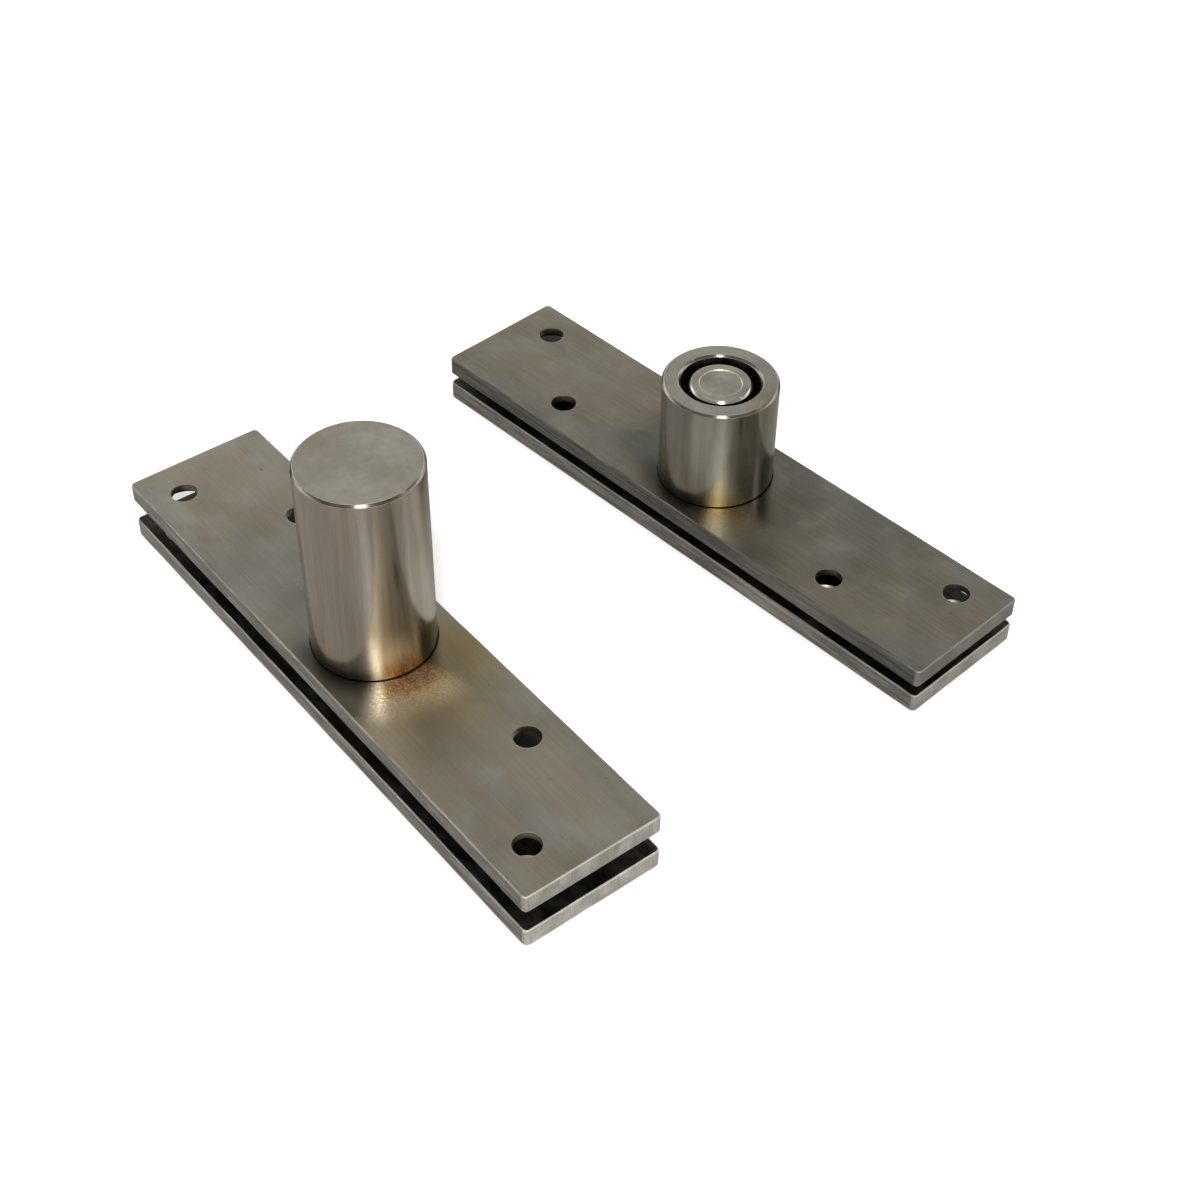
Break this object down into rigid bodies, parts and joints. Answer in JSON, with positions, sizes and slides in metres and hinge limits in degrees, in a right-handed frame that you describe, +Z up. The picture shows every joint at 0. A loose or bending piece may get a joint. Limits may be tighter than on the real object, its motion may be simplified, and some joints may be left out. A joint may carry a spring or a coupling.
{
  "type": "pivot door hinge set",
  "caption": "Two-unit pivot hinge set: plates that turn about a pin on needle bearings, with a closed tall barrel and an open short one.",
  "frame": {"origin": "on the bottom unit's pivot axis, at the underside of its base plate", "axes": "+Z up along the pivot axes, +X along the bottom unit's plates, +Y towards the top unit, which stands beside the bottom one"},
  "size_m": [0.137, 0.1214, 0.0559],
  "materials": {
    "plate_steel": "brushed stainless sheet, warm grey",
    "barrel_steel": "fine turned stainless, satin",
    "pin_steel": "ground steel",
    "bearing_steel": "polished bearing steel",
    "cage_steel": "pressed sheet steel",
    "cage_brass": "machined brass",
    "bronze": "oiled bronze",
    "weld": "weld metal with brown heat tint"
  },
  "bodies": {
    "base_side": {"bottom_base_plate": "plate_steel", "bottom_pin": "pin_steel", "thrust_lower_washer": "bearing_steel", "top_base_plate": "plate_steel", "top_pin": "pin_steel", "top_spacer_washer": "bronze"},
    "bottom_leaf": {"bottom_leaf_plate": "plate_steel", "bottom_barrel": "barrel_steel", "bottom_barrel_weld": "weld", "thrust_upper_washer": "bearing_steel", "lower_needle_cup": "bearing_steel", "upper_needle_cup": "bearing_steel"},
    "thrust_cage": {"thrust_ball_cage": "cage_brass", "thrust_balls": "bearing_steel"},
    "lower_cage": {"lower_needle_cage": "cage_steel", "lower_needles": "bearing_steel"},
    "upper_cage": {"upper_needle_cage": "cage_steel", "upper_needles": "bearing_steel"},
    "top_leaf": {"top_leaf_plate": "plate_steel", "top_barrel": "barrel_steel", "top_barrel_weld": "weld", "top_needle_cup": "bearing_steel"},
    "top_cage": {"top_needle_cage": "cage_steel", "top_needles": "bearing_steel"}
  },
  "joints": [
    {"name": "bottom_leaf_turn", "type": "hinge", "parent": "base_side", "child": "bottom_leaf", "pos_m": [0, 0, 0.0132], "axis": [0, 0, 1], "continuous": true},
    {"name": "thrust_cage_orbit", "type": "hinge", "parent": "base_side", "child": "thrust_cage", "pos_m": [0, 0, 0.0066], "axis": [0, 0, 1], "continuous": true},
    {"name": "lower_cage_orbit", "type": "hinge", "parent": "base_side", "child": "lower_cage", "pos_m": [0, 0, 0.0172], "axis": [0, 0, 1], "continuous": true},
    {"name": "upper_cage_orbit", "type": "hinge", "parent": "base_side", "child": "upper_cage", "pos_m": [0, 0, 0.0439], "axis": [0, 0, 1], "continuous": true},
    {"name": "top_leaf_turn", "type": "hinge", "parent": "base_side", "child": "top_leaf", "pos_m": [0, 0.085, 0.0106], "axis": [0, 0, 1], "range_deg": [-180, 180]},
    {"name": "top_cage_orbit", "type": "hinge", "parent": "base_side", "child": "top_cage", "pos_m": [0, 0.085, 0.0196], "axis": [0, 0, 1], "range_deg": [-103, 103]}
  ],
  "couplings": [
    {"joint": "thrust_cage_orbit", "follows": "bottom_leaf_turn", "ratio": 0.5},
    {"joint": "lower_cage_orbit", "follows": "bottom_leaf_turn", "ratio": 0.56667},
    {"joint": "upper_cage_orbit", "follows": "bottom_leaf_turn", "ratio": 0.56667},
    {"joint": "top_cage_orbit", "follows": "top_leaf_turn", "ratio": 0.56667}
  ]
}
